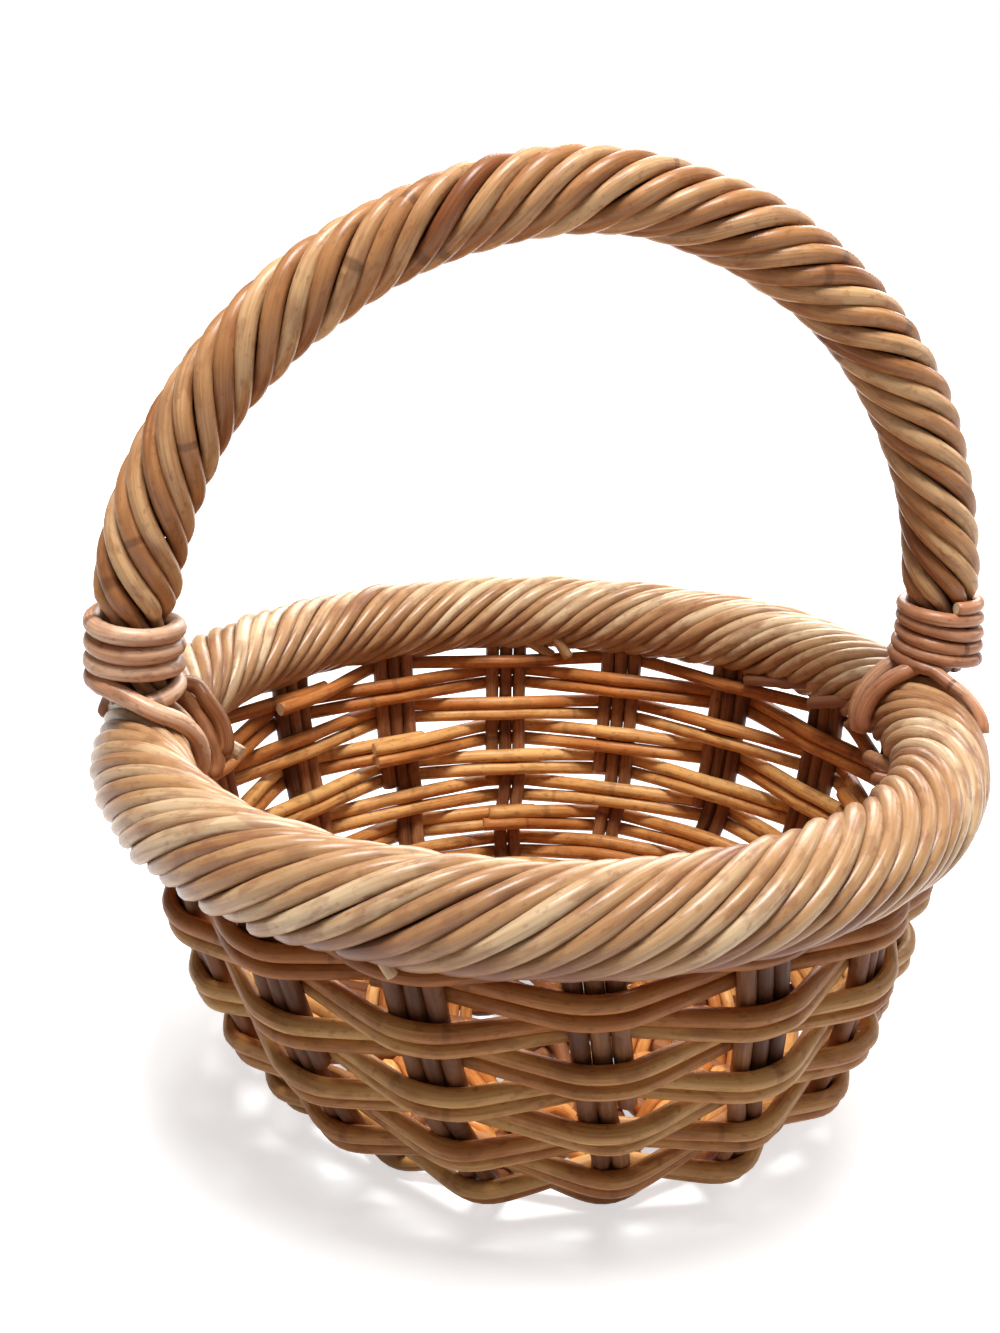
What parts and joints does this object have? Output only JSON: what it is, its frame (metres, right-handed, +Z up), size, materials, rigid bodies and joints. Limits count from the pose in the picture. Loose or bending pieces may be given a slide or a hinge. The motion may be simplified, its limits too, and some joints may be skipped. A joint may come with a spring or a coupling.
{
  "type": "harvest basket",
  "caption": "Round open-weave harvest basket of whole cane with a thick roped border and a tall fixed bow handle of twisted canes bound at both feet.",
  "frame": {"origin": "on the ground, under the middle of the box round the whole basket, 3 mm to +X of the middle of the rim", "axes": "+Z up out of the mouth, X along the handle from its left foot to its right foot, Y across the handle"},
  "size_m": [0.3827, 0.354, 0.3952],
  "materials": {
    "stake_cane": "satin, dark nodes, fine grain",
    "weaver_cane": "satin, honey to brown, fine grain",
    "handle_cane": "satin, tan to ochre, fine grain",
    "border_cane": "satin, straw with pinkish blotches",
    "winding_cane": "satin, pinkish brown"
  },
  "bodies": {
    "root": {"base_stick_lower_1": "stake_cane", "base_stick_lower_2": "stake_cane", "base_stick_lower_3": "stake_cane", "base_stick_lower_4": "stake_cane", "base_stick_upper_1": "stake_cane", "base_stick_upper_2": "stake_cane", "base_stick_upper_3": "stake_cane", "base_stick_upper_4": "stake_cane", "base_weave_lower": "weaver_cane", "base_weave_upper": "weaver_cane", "border": "border_cane", "handle_bow": "handle_cane", "handle_strand_1": "handle_cane", "handle_strand_2": "handle_cane", "handle_strand_3": "handle_cane", "handle_strand_4": "handle_cane", "handle_strand_5": "handle_cane", "handle_strand_6": "handle_cane", "handle_strand_7": "handle_cane", "handle_strand_8": "handle_cane", "left_foot_tail_1": "winding_cane", "left_foot_tail_2": "winding_cane", "left_foot_winding": "winding_cane", "right_foot_tail_1": "winding_cane", "right_foot_tail_2": "winding_cane", "right_foot_winding": "winding_cane", "stake_group_01": "stake_cane", "stake_group_02": "stake_cane", "stake_group_03": "stake_cane", "stake_group_04": "stake_cane", "stake_group_05": "stake_cane", "stake_group_06": "stake_cane", "stake_group_07": "stake_cane", "stake_group_08": "stake_cane", "stake_group_09": "stake_cane", "stake_group_10": "stake_cane", "stake_group_11": "stake_cane", "stake_group_12": "stake_cane", "stake_group_13": "stake_cane", "stake_group_14": "stake_cane", "stake_group_15": "stake_cane", "stake_group_16": "stake_cane", "weaver_01_lower": "weaver_cane", "weaver_02_lower": "weaver_cane", "weaver_02_upper": "weaver_cane", "weaver_03_lower": "weaver_cane", "weaver_03_upper": "weaver_cane", "weaver_04_lower": "weaver_cane", "weaver_04_upper": "weaver_cane", "weaver_05_lower": "weaver_cane", "weaver_05_upper": "weaver_cane", "weaver_06_lower": "weaver_cane", "weaver_06_upper": "weaver_cane", "weaver_07_lower": "weaver_cane", "weaver_07_upper": "weaver_cane", "weaver_08_lower": "weaver_cane", "weaver_08_upper": "weaver_cane", "weaver_09_lower": "weaver_cane", "weaver_09_upper": "weaver_cane", "weaver_10_lower": "weaver_cane"}
  },
  "joints": []
}
